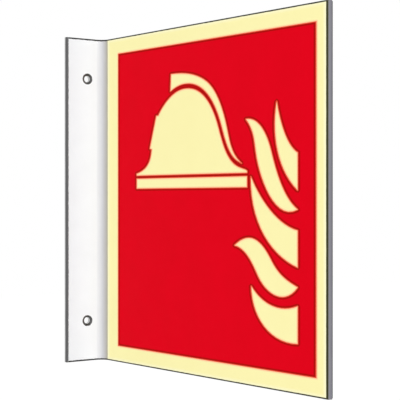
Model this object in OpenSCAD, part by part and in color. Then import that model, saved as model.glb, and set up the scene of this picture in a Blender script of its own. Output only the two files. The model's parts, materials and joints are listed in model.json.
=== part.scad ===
// Projecting fire equipment sign.
// One coated aluminium sheet is folded once. Its short flange screws flat to a wall, and its
// wing stands out from the wall so that it is read from both sides. Each face of the wing
// carries a luminous film, and over it a red print whose border and windows, the helmet
// and the flames, leave the film showing.
// The origin lies on the wall, midway between the two screw holes. +Z is up, the wall is the
// plane y = 0, and the sign stands out towards -Y.

/* [Folded sheet] */
// Height of the sign
sign_h = 200; // [140:5:300]
// Width of the printed face, from the end of the bend to the free edge
face_w = 200; // [140:5:300]
// Thickness of the coated sheet
sheet_t = 3.5; // [2:0.1:4]
// Inside radius of the bend
bend_r = 5; // [2:0.5:6]
// Width of the flange on the wall, out to the far face of the wing
flange_w = 30; // [28:1:60]
// Leg of the chamfer that breaks every cut edge
edge_chamfer = 0.5; // [0.2:0.1:0.8]

/* [Screw holes] */
// Diameter of a screw hole
hole_d = 4; // [3.5:0.5:8]
// Leg of the chamfer at the room end of a screw hole. Its wall end is broken as the edges are.
hole_chamfer = 1.1; // [0.2:0.1:1.1]
// From the centre of a screw hole to the free edge of the flange
hole_to_edge = 15; // [8:0.5:16]
// From the centre of a screw hole to the nearer end of the flange
hole_to_end = 25; // [12:1:50]

/* [Luminous film] */
// Thickness of the luminous film
film_t = 0.3; // [0.2:0.05:0.6]

/* [Red print] */
// Thickness of the red print
print_t = 0.1; // [0.05:0.05:0.2]
// Luminous border above and below the red field
border_ends = 10; // [5:0.5:20]
// Luminous border between the bend and the red field
border_bend = 12; // [5:0.5:20]
// Luminous border between the red field and the free edge
border_edge = 8; // [5:0.5:20]
// Width of the red line between the crest of the helmet and its dome
crest_line = 3; // [1.5:0.5:4]
// Width of the red line between the brim of the helmet and its band
brim_line = 2; // [1:0.1:3]
// Height of the band under the brim
band_h = 5.8; // [4:0.1:9]

/* [Hidden] */

// Colours
coat_white = [0.95, 0.95, 0.95];
luminous_cream = [0.99, 0.96, 0.70];
sign_red = [0.88, 0.03, 0.11];

// The sheet in plan
half_h = sign_h / 2;
far_x = flange_w - hole_to_edge;
near_x = far_x - sheet_t;
bend_end = sheet_t + bend_r;
free_y = -(bend_end + face_w);
flange_flat = flange_w - bend_end;

// The red field
field_w = face_w - border_bend - border_edge;
field_h = sign_h - 2 * border_ends;

// The pictogram is drawn in hundredths of the side of the largest square that the red field
// holds, from that square's lower left corner. Its three widths above are in millimetres.
unit = min(field_w, field_h) / 100;

// Chords along one curve of the pictogram
curve_steps = 14;
// Chords round a full turn of the bend and the holes
$fn = 96;
// How far a cutter runs past the face that it cuts
overrun = 1;

// Point on the cubic curve with corners c, at t from 0 to 1
function on_curve(c, t) =
    let (s = 1 - t)
    s * s * s * c[0] + 3 * s * s * t * c[1] + 3 * s * t * t * c[2] + t * t * t * c[3];

// Unit vector square to that curve, to the left of its run
function left_of_curve(c, t) =
    let (
        s = 1 - t,
        run = s * s * (c[1] - c[0]) + 2 * s * t * (c[2] - c[1]) + t * t * (c[3] - c[2])
    )
    [-run.y, run.x] / norm(run);

// Points along a chain of curves, each from its start up to but not including its end, moved
// to the left of their run by a distance
function along(curves, moved = 0) =
    [for (c = curves) for (i = [0 : curve_steps - 1])
        let (t = i / curve_steps) on_curve(c, t) + moved * left_of_curve(c, t)];

function reversed(points) = [for (i = [len(points) - 1 : -1 : 0]) points[i]];

// Helmet: its dome with the hollow behind the neck guard, its crest, which follows the
// middle of the dome, and its band
module helmet() {
    left = 11.3;
    right = 69.4;
    brim_y = 58.1;
    band_top = brim_y - brim_line / unit;
    band_bottom = band_top - band_h / unit;
    crest_tip = [66.9, 60.9];

    neck = [[left, 58.7], [16.1, 59.6], [19.5, 61.7], [19.9, 66.4]];
    dome_rear = [[23.7, 77.5], [25.5, 79.7], [28.2, 82], [31.2, 83.5]];
    dome_middle = [
        [[31.2, 83.5], [33.6, 84.7], [36, 85.3], [39, 85.3]],
        [[39, 85.3], [46.8, 85.3], [52.3, 80.2], [55.6, 72]],
        [[55.6, 72], [58.1, 65.8], [60.3, 61.3], [65.8, 59.7]]
    ];
    dome_front = [[65.8, 59.7], [67.2, 59.3], [68.7, 59.1], [right, 58.6]];
    crest = [
        [[30.8, 90.5], [36.8, 90.6], [43.9, 90], [49.6, 86.8]],
        [[49.6, 86.8], [54.1, 84.2], [57.4, 79], [59.7, 72]],
        [[59.7, 72], [61.2, 67.4], [61.8, 63.9], crest_tip]
    ];

    polygon(concat(
        [[left, brim_y]],
        along([neck]),
        [[20, 66.6], [18.9, 66.9], [22.6, 77.5]],
        along([dome_rear]),
        along(dome_middle),
        along([dome_front]),
        [[right, 58.6], [right, brim_y]]
    ));
    polygon(concat(
        along(crest),
        [crest_tip],
        reversed(along(dome_middle, crest_line / unit))
    ));
    translate([left, band_bottom])
    square([right - left, band_top - band_bottom]);
}

// The five flames, from the top down. Every other one is cut off straight, and is drawn as
// its upper curve from its tip and its lower curve back to it.
module cut_flame(upper, lower)
    polygon(concat(along([upper]), [upper[3]], along([lower])));

module flames() {
    right = 92.1;
    cut_flame(
        [[83, 78.6], [84.3, 72.7], [87.4, 65.5], [right, 63.4]],
        [[right, 52.7], [83.4, 58.6], [80.5, 69], [83, 78.6]]
    );
    polygon(along([
        [[68.9, 74.1], [74.3, 74.6], [78.4, 70.1], [80.6, 64]],
        [[80.6, 64], [83.3, 56.5], [86.6, 50.2], [right, 47.2]],
        [[right, 47.2], [82.3, 43.5], [75.1, 56.3], [73.5, 64.2]],
        [[73.5, 64.2], [72.7, 68], [72.6, 70.6], [68.9, 74.1]]
    ]));
    cut_flame(
        [[71.2, 56.9], [75.4, 50], [83.4, 42.6], [right, 41.2]],
        [[right, 30.7], [81.3, 33.5], [70.8, 42.5], [71.2, 56.9]]
    );
    polygon(along([
        [[63.5, 36.2], [70.5, 40.8], [75.7, 38.3], [80.1, 32.8]],
        [[80.1, 32.8], [83.3, 28.7], [86.2, 27], [right, 25]],
        [[right, 25], [86.6, 19.5], [78.9, 22], [74.8, 27.1]],
        [[74.8, 27.1], [72.7, 29.9], [69.5, 35.5], [63.5, 36.2]]
    ]));
    cut_flame(
        [[71.4, 24.3], [75.8, 19.7], [83.6, 16.8], [right, 19.6]],
        [[right, 8.9], [80.1, 8], [71.6, 15.1], [71.4, 24.3]]
    );
}

// Everything that the red print leaves open, in the middle of a red field of any proportion
module pictogram()
    translate([field_w / 2, field_h / 2])
    scale([unit, unit])
    translate([-50, -50]) {
        helmet();
        flames();
    }

// Section through the sheet, from its inside face, with its upper and lower edges broken
module sheet_section()
    polygon([
        [0, edge_chamfer - half_h], [edge_chamfer, -half_h],
        [sheet_t - edge_chamfer, -half_h], [sheet_t, edge_chamfer - half_h],
        [sheet_t, half_h - edge_chamfer], [sheet_t - edge_chamfer, half_h],
        [edge_chamfer, half_h], [0, half_h - edge_chamfer]
    ]);

// Prism that breaks one upright cut edge at x, y
module edge_cutter(x, y)
    translate([x, y, 0])
    rotate([0, 0, 45])
    cube([edge_chamfer * sqrt(2), edge_chamfer * sqrt(2), sign_h + 2 * overrun], center = true);

// Bore of one screw hole with both its ends broken
module hole_cutter(z)
    translate([0, 0, z])
    rotate([90, 0, 0])
    rotate_extrude()
    polygon([
        [0, -overrun], [hole_d / 2 + edge_chamfer + overrun, -overrun],
        [hole_d / 2, edge_chamfer], [hole_d / 2, sheet_t - hole_chamfer],
        [hole_d / 2 + hole_chamfer + overrun, sheet_t + overrun], [0, sheet_t + overrun]
    ]);

module flange_flat_plate()
    translate([-hole_to_edge, -sheet_t, 0])
    rotate([90, 0, 90])
    linear_extrude(flange_flat)
    sheet_section();

module bend()
    translate([near_x - bend_r, -bend_end, 0])
    rotate_extrude(angle = 90)
    translate([bend_r, 0])
    sheet_section();

module wing_flat_plate()
    translate([near_x, -bend_end, 0])
    rotate([90, 0, 0])
    linear_extrude(face_w)
    sheet_section();

module folded_sheet()
    color(coat_white)
    difference() {
        union() {
            flange_flat_plate();
            bend();
            wing_flat_plate();
        }
        for (y = [0, -sheet_t]) edge_cutter(-hole_to_edge, y);
        for (x = [near_x, far_x]) edge_cutter(x, free_y);
        for (side = [-1, 1]) hole_cutter(side * (half_h - hole_to_end));
    }

// Puts a shape that is drawn flat on a face of the wing. It is drawn as the reader of that
// face sees it, from the left end of the face and from mid height.
module on_front_face(height_off_sheet)
    translate([near_x - height_off_sheet, -bend_end, 0])
    rotate([90, 0, -90])
    children();

module on_back_face(height_off_sheet)
    translate([far_x + height_off_sheet, free_y, 0])
    rotate([90, 0, 90])
    children();

// The film stops at the chamfers of the sheet. At the bend it stops where the bend starts.
module luminous_film(left)
    color(luminous_cream)
    linear_extrude(film_t)
    translate([left, edge_chamfer - half_h])
    square([face_w - edge_chamfer, sign_h - 2 * edge_chamfer]);

module red_print(left)
    color(sign_red)
    linear_extrude(print_t)
    translate([left, -field_h / 2])
    difference() {
        square([field_w, field_h]);
        pictogram();
    }

module front_luminous_film() on_front_face(0) luminous_film(0);
module front_red_print() on_front_face(film_t) red_print(border_bend);
module back_luminous_film() on_back_face(0) luminous_film(edge_chamfer);
module back_red_print() on_back_face(film_t) red_print(border_edge);

folded_sheet();
front_luminous_film();
front_red_print();
back_luminous_film();
back_red_print();
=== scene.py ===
"""Projecting fire equipment sign: finish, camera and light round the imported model.

Lengths are in metres. The origin is on the wall, midway between the two screw holes. The sign
stands out towards -Y, its front face looks towards -X, and +Z is up.
"""
import json
import math

import bmesh
import bpy
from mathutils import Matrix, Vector


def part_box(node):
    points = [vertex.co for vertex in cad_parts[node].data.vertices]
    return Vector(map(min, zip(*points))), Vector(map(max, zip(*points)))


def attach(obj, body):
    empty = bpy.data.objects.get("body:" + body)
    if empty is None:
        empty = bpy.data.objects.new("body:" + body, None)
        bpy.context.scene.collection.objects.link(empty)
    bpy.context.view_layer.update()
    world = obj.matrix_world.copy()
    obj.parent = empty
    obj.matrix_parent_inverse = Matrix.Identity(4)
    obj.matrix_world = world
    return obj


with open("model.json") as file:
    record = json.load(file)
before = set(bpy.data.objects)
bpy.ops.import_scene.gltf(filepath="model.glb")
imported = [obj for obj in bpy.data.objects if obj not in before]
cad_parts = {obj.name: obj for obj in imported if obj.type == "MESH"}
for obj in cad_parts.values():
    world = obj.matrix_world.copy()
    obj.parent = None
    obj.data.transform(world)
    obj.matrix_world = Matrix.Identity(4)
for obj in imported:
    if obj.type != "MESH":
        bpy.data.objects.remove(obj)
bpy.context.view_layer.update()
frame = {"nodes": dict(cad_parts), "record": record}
nodes = frame["nodes"]
MM = 0.001

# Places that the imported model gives
sheet_low, sheet_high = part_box("folded_sheet")
film_low, film_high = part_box("front_luminous_film")
back_film_low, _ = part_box("back_luminous_film")
print_low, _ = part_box("front_red_print")
FRONT_X = film_high.x
BACK_X = back_film_low.x
SHEET_T = BACK_X - FRONT_X
MIDDLE_X = (FRONT_X + BACK_X) / 2
FILM_OUT = MIDDLE_X - film_low.x
PRINT_OUT = MIDDLE_X - print_low.x
BEND_Y = film_high.y
BEND_R = -BEND_Y - SHEET_T
FREE_Y = sheet_low.y
FLANGE_X = sheet_low.x
TOP_Z = sheet_high.z
CHAMFER = film_low.y - FREE_Y
mounts = {mount["name"]: mount for mount in frame["record"]["mounts"]}
HOLE_Z = mounts["upper_screw_hole"]["pos_m"][2]
HOLE_R = mounts["upper_screw_hole"]["dims"]["r_mm"] * MM
HOLE_WALL = mounts["upper_screw_hole"]["dims"]["length_mm"] * MM
HOLE_RIM_R = HOLE_R + SHEET_T - CHAMFER - HOLE_WALL


def linear(level):
    """Linear light of a level from 0 to 255 on the screen, by the sRGB curve."""
    share = level / 255
    return share / 12.92 if share <= 0.04045 else ((share + 0.055) / 1.055) ** 2.4


def colour(red, green, blue):
    return (linear(red), linear(green), linear(blue), 1.0)


# Finishes, as the levels that they show on screen
# Painted light: the coat is greyer at the flange's free edge and whiter towards the bend
COAT_SHADED_LEFT = colour(233, 233, 235)
COAT_LIT_RIGHT = colour(254, 254, 255)
# Painted shade inside the bend, from the flange's side to the wing's
BEND_SHADE_START = colour(250, 250, 252)
BEND_SHADE_MIDDLE = colour(204, 204, 208)
BEND_SHADE_END = colour(165, 159, 140)
CUT_LIGHT = colour(149, 149, 155)
CUT_DARK = colour(119, 117, 126)
BROKEN_EDGE = colour(36, 36, 34)
FREE_CHAMFER = colour(124, 123, 124)
# Painted shade: the flange's sheared face is dark
FLANGE_CUT_SHADE = colour(93, 93, 94)
FLANGE_BRIGHT = colour(205, 205, 205)
FLANGE_BROKEN = colour(95, 95, 96)
FLANGE_WORN = colour(117, 121, 122)
HOLE_WALL_GREY = colour(205, 205, 205)
# Painted shade on the screw holes' chamfers
HOLE_CHAMFER_SHADE = colour(90, 90, 90)
HOLE_RING_GREY = colour(98, 98, 98)
FILM_CREAM = colour(254, 247, 182)
FILM_DEEP = colour(251, 243, 176)
FILM_PALE = colour(254, 251, 208)
FILM_RIM = colour(52, 53, 34)
# Painted shade where the film ends at the bend
FILM_END_SHADE = colour(176, 170, 140)
PRINT_RED = colour(226, 1, 26)
PRINT_DEEP = colour(222, 1, 24)
INK_RIM = colour(236, 84, 60)
INK_DARK = colour(170, 9, 6)
INK_BLEED = colour(254, 200, 154)

# Roughness, as one value or from the smoothest place to the dullest, and specular level
COAT_ROUGH = (0.38, 0.46)
BARE_ROUGH = 0.5
SHEET_SPECULAR = 0.2
FILM_ROUGH = (0.46, 0.54)
STAIN_ROUGH = 0.5
FILM_SPECULAR = 0.06
PRINT_ROUGH = (0.42, 0.5)
RIDGE_ROUGH = 0.45
INK_SPECULAR = 0.012

# Depth and strength of the bumps
SHEET_BUMP = (0.03 * MM, 0.5)
FILM_BUMP = (0.01 * MM, 0.35)
INK_BUMP = (0.008 * MM, 0.35)

# Nearly all of a noise's values lie between these, and the film's crystals show between those
NOISE_LOW = 0.3
NOISE_HIGH = 0.7
CRYSTALS = (0.25, 0.75)
# How far noise moves a tone or a border to either side
COAT_MOTTLE = 0.08
BEND_SHADE_WAVER = 0.02
CUT_STREAKS = 0.25
CUT_WAVER = 0.1 * MM
FILM_WAVER = 0.06 * MM
INK_WAVER = 0.05 * MM
# Most that grain lightens a broken edge towards the sheared face beside it
BROKEN_GRAIN = 0.5
# Share of the bend's turn at which the middle tone of its painted shade lies
BEND_HALF = 0.5

# How far from a cut edge the coat is worn through
WORN_LEAST = CHAMFER + 0.4 * MM
WORN_MOST = CHAMFER + 0.65 * MM
# How metallic the sheet is where it is cut and where it is worn, and the step between them
CUT_METAL = 0.9
WORN_METAL = 0.3
METAL_STEP = 0.05 * MM
# Beside the flange's free edge the tone turns from broken to worn up to the first of these, and
# the second takes in the whole worn strip
FLANGE_WORN_FROM = CHAMFER + 0.5 * MM
FLANGE_WORN_TO = CHAMFER + 0.7 * MM
# The sheared face there is painted dark as shade from the room to the first of these places
# along Y, and bright from the second to the wall
SHEARED_DARK_Y = -1.7 * MM
SHEARED_BRIGHT_Y = -1.1 * MM
# The worn ring round a screw hole is narrower than the worn strip beside an edge. It lies off
# the hole towards the flange's free edge, and is a little less high than wide.
RING_NARROWER = 0.22 * MM
RING_ASIDE = 0.3 * MM
RING_HEIGHT_SHARE = 0.95
# Room round a hole's rim that takes in the whole of that ring
RING_ROOM = 1.0 * MM
# Shares of a chamfer and of a hole's radius by which a point may miss a surface and still count
# as on it
ON_FLAT = 0.02
ON_WALL = 0.01

# The film's dark cut rim, and the soft step at its inner side
FILM_RIM_W = 0.4 * MM
FILM_RIM_SOFT = 0.1 * MM
# Stretches from the film's edges over which it turns from pale to its own cream
PALE_SIDES = (1.2 * MM, 3.0 * MM)
PALE_SIDES_SHARE = 0.9
PALE_ENDS = (0.5 * MM, 2.4 * MM)
PALE_ENDS_SHARE = 0.85
# Painted shade on the end of the film at the bend
SHADED_END = (0.2 * MM, 0.4 * MM)
SHADED_END_SHARE = 0.9

# The ridge of ink along the edges of the print, and the stain that it leaves on the film
RIDGE_H = 0.01 * MM
RIDGE_END_H = 0.0005 * MM
RIDGE_W = 2.4 * MM
STAIN_W = 1.6 * MM
# They are narrower up and down than sideways, which is the way that the squeegee was pulled
UPRIGHT_SHARE = 0.7
# Stretches over which the ridge turns dark and then red again, and the stain turns to cream
RIDGE_DARKENS = (0.6 * MM, 0.8 * MM)
RIDGE_REDDENS = (1.5 * MM, RIDGE_W)
STAIN_CLEARS = (0.3 * MM, 0.95 * STAIN_W)

# Corners of an outline. A ribbon's mitre is reckoned no sharper than the first, gives way to a
# fan on the outer side past the second, and is no longer than the third. The last two are in
# widths of the ribbon.
LEAST_MITRE_COSINE = 0.35
FAN_FROM_REACH = 1.15
MOST_REACH = 2.0
# Points nearer than this to a print's face lie on it, and places are told apart to so many
# decimals of a metre
ON_FACE = 0.01 * MM
DECIMALS = 7


class Nodes:
    """Short calls that add nodes to one material or world and wire them up."""

    def __init__(self, owner):
        owner.use_nodes = True
        self.tree = owner.node_tree
        self.tree.nodes.clear()

    def add(self, kind, settings=None, inputs=None):
        """Adds a node. An input is a constant or another node's output, by name or by number."""
        node = self.tree.nodes.new(kind)
        for name, value in (settings or {}).items():
            setattr(node, name, value)
        for name, value in (inputs or {}).items():
            if isinstance(value, bpy.types.NodeSocket):
                self.tree.links.new(value, node.inputs[name])
            else:
                node.inputs[name].default_value = value
        return node

    def math(self, operation, *values):
        node = self.add("ShaderNodeMath", {"operation": operation}, dict(enumerate(values)))
        return node.outputs[0]

    def ramp(self, value, low, high, at_low=0.0, at_high=1.0):
        """Value taken from the stretch low..high to the stretch at_low..at_high, and held at
        its ends."""
        inputs = {"Value": value, "From Min": low, "From Max": high, "To Min": at_low, "To Max": at_high}
        return self.add("ShaderNodeMapRange", inputs=inputs).outputs[0]

    def spread(self, noise, at_low=0.0, at_high=1.0):
        """A noise whose usual values are taken to the stretch at_low..at_high."""
        return self.ramp(noise, NOISE_LOW, NOISE_HIGH, at_low, at_high)

    def waver(self, noise, amount):
        """A noise whose usual values run from amount below zero to amount above it."""
        return self.spread(noise, -amount, amount)

    def mix(self, share, a, b):
        """A colour between two colours."""
        node = self.add("ShaderNodeMix", {"data_type": "RGBA"}, {0: share, 6: a, 7: b})
        return node.outputs[2]

    def blend(self, share, a, b):
        """A number between two numbers."""
        return self.add("ShaderNodeMix", {"data_type": "FLOAT"}, {0: share, 2: a, 3: b}).outputs[0]

    def place(self):
        return self.add("ShaderNodeTexCoord").outputs["Object"]

    def axes(self):
        return self.add("ShaderNodeSeparateXYZ", inputs={0: self.place()}).outputs

    def noise(self, lumps, detail=3.0, roughness=0.55, stretch=(1.0, 1.0, 1.0)):
        """Noise with about that many lumps to a metre, stretched along the axes."""
        inputs = {"Vector": self.place(), "Scale": stretch}
        moved = self.add("ShaderNodeMapping", inputs=inputs).outputs[0]
        inputs = {"Vector": moved, "Scale": lumps, "Detail": detail, "Roughness": roughness}
        return self.add("ShaderNodeTexNoise", inputs=inputs).outputs[0]

    def bump(self, height, depth, strength):
        inputs = {"Height": height, "Distance": depth, "Strength": strength}
        return self.add("ShaderNodeBump", inputs=inputs).outputs[0]

    def surface(self, shader):
        self.add("ShaderNodeOutputMaterial", inputs={"Surface": shader})


def new_material(name):
    made = bpy.data.materials.new(name)
    return made, Nodes(made)


def principled(n, base, rough, normal, specular, metal=0.0):
    inputs = {"Base Color": base, "Roughness": rough, "Normal": normal, "Metallic": metal,
              "Specular IOR Level": specular}
    n.surface(n.add("ShaderNodeBsdfPrincipled", inputs=inputs).outputs[0])


def length(n, a, b):
    """Length of the diagonal of a by b."""
    return n.math("SQRT", n.math("ADD", n.math("MULTIPLY", a, a), n.math("MULTIPLY", b, b)))


def hole_radius(n, x, z):
    """Distance from the axis of the nearer screw hole."""
    return length(n, x, n.math("SUBTRACT", n.math("ABSOLUTE", z), HOLE_Z))


def edge_distance(n, x, y, z):
    """Distance of a point on the sheet from the nearest cut edge, holes included."""
    from_ends = n.math("SUBTRACT", TOP_Z, n.math("ABSOLUTE", z))
    from_flange_edge = n.math("SUBTRACT", x, FLANGE_X)
    from_free_edge = n.math("SUBTRACT", y, FREE_Y)
    ring_x = n.math("MULTIPLY", n.math("ADD", x, RING_ASIDE), RING_HEIGHT_SHARE)
    from_hole = n.math("SUBTRACT", hole_radius(n, ring_x, z), HOLE_RIM_R - CHAMFER - RING_NARROWER)
    nearest = n.math("MINIMUM", from_ends, from_flange_edge)
    nearest = n.math("MINIMUM", nearest, from_free_edge)
    return n.math("MINIMUM", nearest, from_hole)


def coat_colour(n, x, y):
    """White coat with painted light, a little greyer towards the flange's free edge and whiter towards
    the bend, and painted shade that greys it in the bend.
    """
    # Painted light: greyer towards the flange's free edge, whiter towards the bend
    tone = n.ramp(x, FLANGE_X, FRONT_X - BEND_R)
    tone = n.math("ADD", tone, n.waver(n.noise(lumps=70, detail=4), COAT_MOTTLE))
    base = n.mix(tone, COAT_SHADED_LEFT, COAT_LIT_RIGHT)
    # Painted shade in the bend, made uneven by noise
    across = n.math("SUBTRACT", x, FRONT_X - BEND_R)
    out = n.math("SUBTRACT", y, BEND_Y)
    turn = n.math("DIVIDE", n.math("ARCTAN2", across, out), math.pi / 2)
    inside = n.math("LESS_THAN", length(n, across, out), BEND_R + SHEET_T / 2)
    in_bend = n.math("MULTIPLY", inside, n.math("GREATER_THAN", turn, 0.0))
    shade_noise = n.noise(lumps=220, detail=5, stretch=(1.0, 1.0, 0.12))
    turn = n.math("ADD", turn, n.waver(shade_noise, BEND_SHADE_WAVER))
    shade = n.mix(n.ramp(turn, 0.0, BEND_HALF), BEND_SHADE_START, BEND_SHADE_MIDDLE)
    shade = n.mix(n.ramp(turn, BEND_HALF, 1.0), shade, BEND_SHADE_END)
    return n.mix(in_bend, base, shade)


def sheared_colour(n, x, y):
    """Sheared faces. The wing's is lighter towards the front, and the flange's is painted dark as
    shade towards the room and bright at the wall."""
    streaks = n.noise(lumps=500, detail=5, roughness=0.7, stretch=(6.0, 1.0, 0.15))
    across = n.math("ADD", n.ramp(x, FRONT_X, BACK_X), n.waver(streaks, CUT_STREAKS))
    sheared = n.mix(across, CUT_LIGHT, CUT_DARK)
    along = n.math("ADD", y, n.waver(streaks, CUT_WAVER))
    # Painted shade darkens the flange's sheared face towards the room
    flange_cut_shading = n.mix(n.ramp(along, SHEARED_DARK_Y, SHEARED_BRIGHT_Y), FLANGE_CUT_SHADE, FLANGE_BRIGHT)
    on_flange = n.math("LESS_THAN", x, FLANGE_X + CHAMFER / 2)
    return n.mix(on_flange, sheared, flange_cut_shading)


def broken_colour(n, x, y):
    """Broken edges, with the strips beside them where the coat is worn through."""
    grain = n.noise(lumps=1800, detail=3)
    broken = n.mix(n.spread(grain, 0.0, BROKEN_GRAIN), BROKEN_EDGE, FLANGE_CUT_SHADE)
    from_flange_edge = n.math("SUBTRACT", x, FLANGE_X)
    flange_rim = n.mix(n.ramp(from_flange_edge, CHAMFER, FLANGE_WORN_FROM), FLANGE_BROKEN, FLANGE_WORN)
    broken = n.mix(n.math("LESS_THAN", from_flange_edge, FLANGE_WORN_TO), broken, flange_rim)
    at_free_edge = n.math("LESS_THAN", y, FREE_Y + CHAMFER * (1 + ON_FLAT))
    from_middle = n.math("ABSOLUTE", n.math("SUBTRACT", x, MIDDLE_X))
    chamfer_start = SHEET_T / 2 - CHAMFER
    by_film = n.ramp(from_middle, chamfer_start, chamfer_start + FILM_RIM_SOFT)
    return n.mix(at_free_edge, broken, n.mix(by_film, FREE_CHAMFER, FILM_RIM))


def bare_colour(n, x, y, z, distance):
    """Bare aluminium: sheared faces, broken edges and screw holes, whose chamfers are painted dark as
    shade.
    """
    is_flat = n.math("LESS_THAN", distance, CHAMFER * ON_FLAT)
    base = n.mix(is_flat, broken_colour(n, x, y), sheared_colour(n, x, y))
    radius = hole_radius(n, x, z)
    past_wall = n.math("GREATER_THAN", radius, HOLE_R * (1 + ON_WALL))
    # Painted shade darkens the holes' chamfers
    hole = n.mix(past_wall, HOLE_WALL_GREY, HOLE_CHAMFER_SHADE)
    hole = n.mix(n.math("GREATER_THAN", radius, HOLE_RIM_R), hole, HOLE_RING_GREY)
    in_hole = n.math("LESS_THAN", radius, HOLE_RIM_R + RING_ROOM)
    return n.mix(in_hole, base, hole)


def sheet_material():
    """Stoved white coat on aluminium sheet, bare where the sheet is cut or worn."""
    made, n = new_material("coated_sheet")
    x, y, z = n.axes()
    distance = edge_distance(n, x, y, z)
    worn_to = n.spread(n.noise(lumps=700, detail=4), WORN_LEAST, WORN_MOST)
    bare = n.math("LESS_THAN", distance, worn_to)
    base = n.mix(bare, coat_colour(n, x, y), bare_colour(n, x, y, z, distance))
    peel = n.noise(lumps=650, detail=2, roughness=0.4)
    streaks = n.noise(lumps=900, detail=4, stretch=(4.0, 1.0, 0.2))
    normal = n.bump(n.blend(bare, peel, streaks), *SHEET_BUMP)
    rough = n.blend(bare, n.spread(n.noise(lumps=120), *COAT_ROUGH), BARE_ROUGH)
    metal = n.ramp(distance, CHAMFER, CHAMFER + METAL_STEP, CUT_METAL, WORN_METAL)
    principled(n, base, rough, normal, SHEET_SPECULAR, n.math("MULTIPLY", bare, metal))
    return made


def film_grain(n):
    """Fine crystals of the luminous film."""
    return n.ramp(n.noise(lumps=2600, detail=2), *CRYSTALS)


def film_material():
    """Photoluminescent film: cream, with fine crystal grain, pale margins, a dark cut rim, and painted
    shade at its end by the bend.
    """
    made, n = new_material("luminous_film")
    _, y, z = n.axes()
    mottle = n.spread(n.noise(lumps=45, detail=5))
    grain = film_grain(n)
    base = n.mix(n.math("MULTIPLY", mottle, grain), FILM_DEEP, FILM_CREAM)
    waver = n.waver(n.noise(lumps=300, detail=3), FILM_WAVER)
    from_ends = n.math("SUBTRACT", film_high.z, n.math("ABSOLUTE", z))
    from_free_edge = n.math("SUBTRACT", y, film_low.y)
    from_bend = n.math("SUBTRACT", film_high.y, y)
    from_sides = n.math("ADD", n.math("MINIMUM", from_free_edge, from_bend), waver)
    base = n.mix(n.ramp(from_sides, *PALE_SIDES, PALE_SIDES_SHARE, 0.0), base, FILM_PALE)
    pale_end = n.ramp(n.math("ADD", from_ends, waver), *PALE_ENDS, PALE_ENDS_SHARE, 0.0)
    base = n.mix(pale_end, base, FILM_PALE)
    # Painted shade where the film ends at the bend
    shaded_end = n.ramp(n.math("ADD", from_bend, waver), *SHADED_END, SHADED_END_SHARE, 0.0)
    base = n.mix(shaded_end, base, FILM_END_SHADE)
    from_cut = n.math("ADD", n.math("MINIMUM", from_ends, from_free_edge), waver)
    rim = n.ramp(from_cut, FILM_RIM_W, FILM_RIM_W + FILM_RIM_SOFT, 1.0, 0.0)
    base = n.mix(rim, base, FILM_RIM)
    rough = n.ramp(mottle, 0.0, 1.0, *FILM_ROUGH)
    principled(n, base, rough, n.bump(grain, *FILM_BUMP), FILM_SPECULAR)
    return made


def ink_bump(n):
    """Marks that the mesh of the screen leaves in the ink."""
    return n.bump(n.noise(lumps=3200, detail=1), *INK_BUMP)


def red_material():
    """Screen printed red ink, which lies flat and nearly matt on the film."""
    made, n = new_material("red_print")
    mottle = n.spread(n.noise(lumps=60, detail=5))
    base = n.mix(mottle, PRINT_DEEP, PRINT_RED)
    rough = n.ramp(mottle, 0.0, 1.0, *PRINT_ROUGH)
    principled(n, base, rough, ink_bump(n), INK_SPECULAR)
    return made


def inward(n, base_out, width):
    """Distance of a point on a ridge from the edge of the print, told by the ridge's height
    over a base that lies base_out from the middle of the sheet."""
    x = n.axes()[0]
    rise = n.math("SUBTRACT", n.math("ABSOLUTE", n.math("SUBTRACT", x, MIDDLE_X)), base_out)
    distance = n.ramp(rise, RIDGE_H, RIDGE_END_H, 0.0, width)
    return n.math("ADD", distance, n.waver(n.noise(lumps=500, detail=3), INK_WAVER))


def ridge_material():
    """Ink along the edge of the print: bright at its rim, darker behind it, and the print's own
    red where the ridge ends."""
    made, n = new_material("ink_ridge")
    distance = inward(n, PRINT_OUT, RIDGE_W)
    base = n.mix(n.ramp(distance, *RIDGE_DARKENS), INK_RIM, INK_DARK)
    base = n.mix(n.ramp(distance, *RIDGE_REDDENS), base, PRINT_DEEP)
    principled(n, base, RIDGE_ROUGH, ink_bump(n), INK_SPECULAR)
    return made


def stain_material():
    """Film stained by the ink beside it, and clean again a little way off."""
    made, n = new_material("ink_stain")
    distance = inward(n, FILM_OUT, STAIN_W)
    base = n.mix(n.ramp(distance, *STAIN_CLEARS), INK_BLEED, FILM_CREAM)
    principled(n, base, STAIN_ROUGH, n.bump(film_grain(n), *FILM_BUMP), FILM_SPECULAR)
    return made


def dress(node, made):
    node.material_slots[0].material = made


def leave_out_of_bounces(piece):
    """Keeps a film's or a print's colour and shadow off the white flange, as in the photograph."""
    piece.visible_diffuse = False
    piece.visible_shadow = False


def outline_loops(mesh, face_x):
    """Loops of (y, z) points round the flat face of a print at face_x, with ink on their left
    as seen from +X."""
    edges = {}
    for polygon in mesh.polygons:
        points = [mesh.vertices[index].co for index in polygon.vertices]
        if max(abs(point.x - face_x) for point in points) > ON_FACE:
            continue
        flat = [(round(point.y, DECIMALS), round(point.z, DECIMALS)) for point in points]
        if polygon.normal.x < 0:
            flat.reverse()
        edges.update(dict.fromkeys(zip(flat, flat[1:] + flat[:1])))
    border = {start: end for start, end in edges if (end, start) not in edges}
    loops = []
    while border:
        first = next(iter(border))
        loop = [first]
        point = border.pop(first)
        while point != first:
            loop.append(point)
            point = border.pop(point)
        loops.append([Vector(point) for point in loop])
    return loops


def unit_left(start, end):
    run = (end - start).normalized()
    return Vector((-run.y, run.x))


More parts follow.
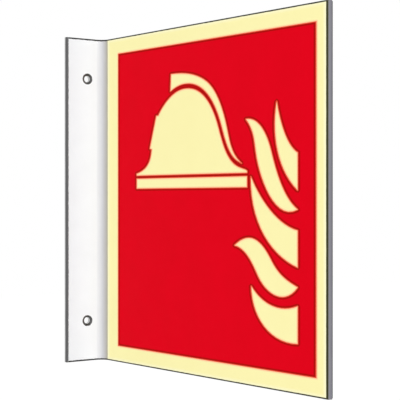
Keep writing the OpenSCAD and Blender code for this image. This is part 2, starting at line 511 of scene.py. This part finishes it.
def ribbon(mesh, loop, face_x, side, width, index):
    """Adds one strip along a loop, to its left. It stands a ridge's height off the face at the
    loop and slopes down to nearly nothing at its far side. It is laid out on a face that is
    stretched up and down, so that it comes out narrower there."""
    def rail_point(point, shift, height):
        upright = (point.y + shift.y) * UPRIGHT_SHARE
        return mesh.verts.new((face_x + side * height, point.x + shift.x, upright))

    loop = [Vector((point.x, point.y / UPRIGHT_SHARE)) for point in loop]
    size = len(loop)
    rails = []
    for i in range(size):
        before = unit_left(loop[i - 1], loop[i])
        after = unit_left(loop[i], loop[(i + 1) % size])
        middle = (before + after).normalized()
        reach = 1 / max(middle.dot(after), LEAST_MITRE_COSINE)
        if before.cross(after) < 0 and reach > FAN_FROM_REACH:
            shifts = [before, middle, after]
        else:
            shifts = [middle * min(reach, MOST_REACH)]
        rim = rail_point(loop[i], Vector((0, 0)), RIDGE_H)
        rails.append((rim, [rail_point(loop[i], shift * width, RIDGE_END_H) for shift in shifts]))
    for i in range(size):
        rim, ends = rails[i]
        next_rim, next_ends = rails[(i + 1) % size]
        faces = [(rim, a, b) for a, b in zip(ends[1:], ends)]
        faces.append((rim, next_rim, next_ends[0], ends[-1]))
        for corners in faces:
            mesh.faces.new(corners).material_index = index


def ink_edge(name, materials):
    """The ridge of ink round the red field and round the helmet and the flames."""
    node = nodes[f"{name}_red_print"]
    side = -1 if name == "front" else 1
    print_x = MIDDLE_X + side * PRINT_OUT
    film_x = MIDDLE_X + side * FILM_OUT
    mesh = bmesh.new()
    for loop in outline_loops(node.data, print_x):
        ribbon(mesh, loop, print_x, side, RIDGE_W, 0)
        ribbon(mesh, loop[::-1], film_x, side, STAIN_W, 1)
    made = bpy.data.meshes.new(f"{name}_ink_edge")
    mesh.to_mesh(made)
    mesh.free()
    for polygon in made.polygons:
        if polygon.normal.x * side < 0:
            polygon.flip()
    piece = bpy.data.objects.new(f"{name}_ink_edge", made)
    bpy.context.scene.collection.objects.link(piece)
    for material in materials:
        made.materials.append(material)
    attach(piece, "root")
    leave_out_of_bounces(piece)


dress(nodes["folded_sheet"], sheet_material())
film = film_material()
red = red_material()
inks = [ridge_material(), stain_material()]
for side in ("front", "back"):
    for name, made in ((f"{side}_luminous_film", film), (f"{side}_red_print", red)):
        dress(nodes[name], made)
        leave_out_of_bounces(nodes[name])
    ink_edge(side, inks)

# Camera: the photograph's view, from in front of the face and level with its middle
CAMERA_TURN = math.radians(37.33)
CAMERA_DISTANCE = 0.797
CAMERA_ASIDE = 0.0577
CAMERA_HEIGHT = -0.15 * MM
LENS = 115.07
SENSOR_WIDTH = 36
forward = Vector((math.sin(CAMERA_TURN), math.cos(CAMERA_TURN), 0))
right = Vector((math.cos(CAMERA_TURN), -math.sin(CAMERA_TURN), 0))
film_start = Vector((film_low.x, film_high.y, CAMERA_HEIGHT))
camera_data = bpy.data.cameras.new("camera")
camera_data.lens = LENS
camera_data.sensor_width = SENSOR_WIDTH
camera = bpy.data.objects.new("camera", camera_data)
bpy.context.scene.collection.objects.link(camera)
camera.location = film_start - CAMERA_DISTANCE * forward + CAMERA_ASIDE * right
camera.rotation_mode = "QUATERNION"
camera.rotation_quaternion = forward.to_track_quat("-Z", "Y")
bpy.context.scene.camera = camera

# Soft light: the world lights everything evenly, and two lamps give it a direction
WORLD_LIGHT = 0.85
FLOOR_Z = -0.75
FLOOR_HALF = 8.0
FLOOR_GLOW = 0.3
FLOOR_LIGHT = (0.86, 0.86, 0.86, 1)
FLOOR_DARK = (0.84, 0.84, 0.84, 1)
WHITE = (1, 1, 1, 1)


def soft_light(name, place, size, power):
    """A round lamp that faces the middle of the sign."""
    data = bpy.data.lights.new(name, "AREA")
    data.shape = "DISK"
    data.size = size
    data.energy = power
    light = bpy.data.objects.new(name, data)
    light.location = place
    light.rotation_mode = "QUATERNION"
    sign_middle = Vector((0, FREE_Y / 2, 0))
    light.rotation_quaternion = (sign_middle - Vector(place)).to_track_quat("-Z", "Y")
    bpy.context.scene.collection.objects.link(light)


def seen_white(n):
    """1 for what the camera, a reflection or a clear material sees, and 0 for light that falls."""
    path = n.add("ShaderNodeLightPath").outputs
    seen = n.math("MAXIMUM", path["Is Camera Ray"], path["Is Glossy Ray"])
    return n.math("MAXIMUM", seen, path["Is Transmission Ray"])


def white_world():
    world = bpy.data.worlds.new("studio")
    bpy.context.scene.world = world
    n = Nodes(world)
    strength = n.ramp(seen_white(n), 0, 1, WORLD_LIGHT, 1.0)
    background = n.add("ShaderNodeBackground", inputs={"Color": WHITE, "Strength": strength})
    n.add("ShaderNodeOutputWorld", inputs={"Surface": background.outputs[0]})


def floor_material():
    """Pale floor that keeps shadows, with a faint glow that only a look at it shows."""
    made, n = new_material("floor")
    speckle = n.mix(n.noise(lumps=9, detail=5), FLOOR_DARK, FLOOR_LIGHT)
    diffuse = n.add("ShaderNodeBsdfDiffuse", inputs={"Color": speckle})
    glow = n.math("MULTIPLY", seen_white(n), FLOOR_GLOW)
    light = n.add("ShaderNodeEmission", inputs={"Color": WHITE, "Strength": glow})
    both = n.add("ShaderNodeAddShader", inputs={0: diffuse.outputs[0], 1: light.outputs[0]})
    n.surface(both.outputs[0])
    return made


def pale_floor():
    """Floor well below the sign, which hangs on a wall. It keeps the sign's faint shadow."""
    mesh = bpy.data.meshes.new("floor")
    half = FLOOR_HALF
    corners = [(-half, -half, 0), (half, -half, 0), (half, half, 0), (-half, half, 0)]
    mesh.from_pydata(corners, [], [(0, 1, 2, 3)])
    mesh.materials.append(floor_material())
    floor = bpy.data.objects.new("floor", mesh)
    floor.location.z = FLOOR_Z
    bpy.context.scene.collection.objects.link(floor)


soft_light("key", place=(-1.6, -2.1, 0.7), size=1.2, power=19)
soft_light("fill", place=(2.2, -0.3, 0.9), size=1.4, power=10)
white_world()
pale_floor()
bpy.context.scene.view_settings.view_transform = "Standard"
